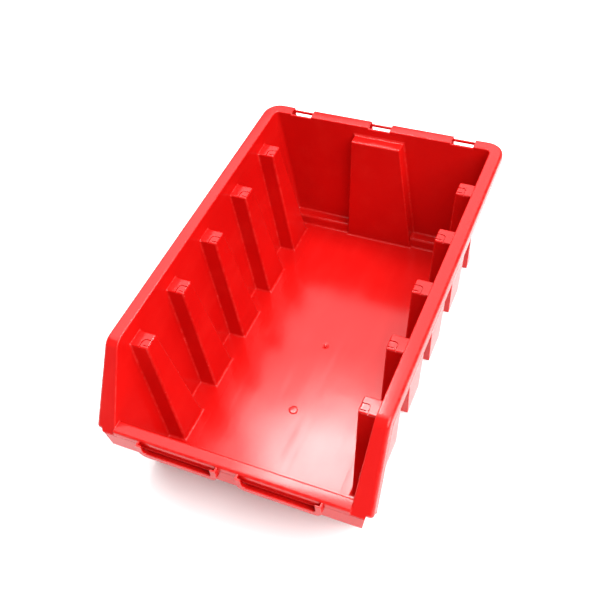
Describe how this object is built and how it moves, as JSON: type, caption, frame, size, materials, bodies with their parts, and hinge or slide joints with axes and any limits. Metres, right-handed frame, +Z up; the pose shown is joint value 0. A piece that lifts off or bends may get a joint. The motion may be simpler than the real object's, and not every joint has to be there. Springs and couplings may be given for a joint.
{
  "type": "stackable storage bin",
  "caption": "Open-top stackable storage bin with a sloped low front, hollow side ribs, a slotted rear flange and label holders.",
  "frame": {"origin": "middle of the bin's box, on the plane its base rests on", "axes": "+Z up through the open top, +Y towards the high rear wall, +X to the right as seen from the low front"},
  "size_m": [0.333, 0.507, 0.187],
  "materials": {
    "moulded_plastic": "gloss moulded polypropylene"
  },
  "bodies": {
    "root": {"floor_center": "moulded_plastic", "floor_runner_left": "moulded_plastic", "floor_runner_right": "moulded_plastic", "side_rib_left_1": "moulded_plastic", "side_rib_left_2": "moulded_plastic", "side_panel_left_1": "moulded_plastic", "side_rib_left_3": "moulded_plastic", "side_panel_left_2": "moulded_plastic", "side_rib_left_4": "moulded_plastic", "side_panel_left_3": "moulded_plastic", "side_rib_left_5": "moulded_plastic", "side_panel_left_4": "moulded_plastic", "front_cheek_left": "moulded_plastic", "rear_corner_left": "moulded_plastic", "side_flange_left": "moulded_plastic", "side_rib_right_1": "moulded_plastic", "side_rib_right_2": "moulded_plastic", "side_panel_right_1": "moulded_plastic", "side_rib_right_3": "moulded_plastic", "side_panel_right_2": "moulded_plastic", "side_rib_right_4": "moulded_plastic", "side_panel_right_3": "moulded_plastic", "side_rib_right_5": "moulded_plastic", "side_panel_right_4": "moulded_plastic", "front_cheek_right": "moulded_plastic", "rear_corner_right": "moulded_plastic", "side_flange_right": "moulded_plastic", "rear_rib": "moulded_plastic", "rear_panel_left": "moulded_plastic", "rear_panel_right": "moulded_plastic", "rear_flange_corner_left": "moulded_plastic", "rear_flange_corner_right": "moulded_plastic", "rear_flange_left": "moulded_plastic", "rear_flange_right": "moulded_plastic", "rear_slot_bar_left": "moulded_plastic", "rear_slot_bar_center": "moulded_plastic", "rear_slot_bar_right": "moulded_plastic", "front_wall": "moulded_plastic", "front_lip": "moulded_plastic", "front_skirt": "moulded_plastic", "label_holder_left": "moulded_plastic", "label_holder_right": "moulded_plastic"}
  },
  "joints": []
}
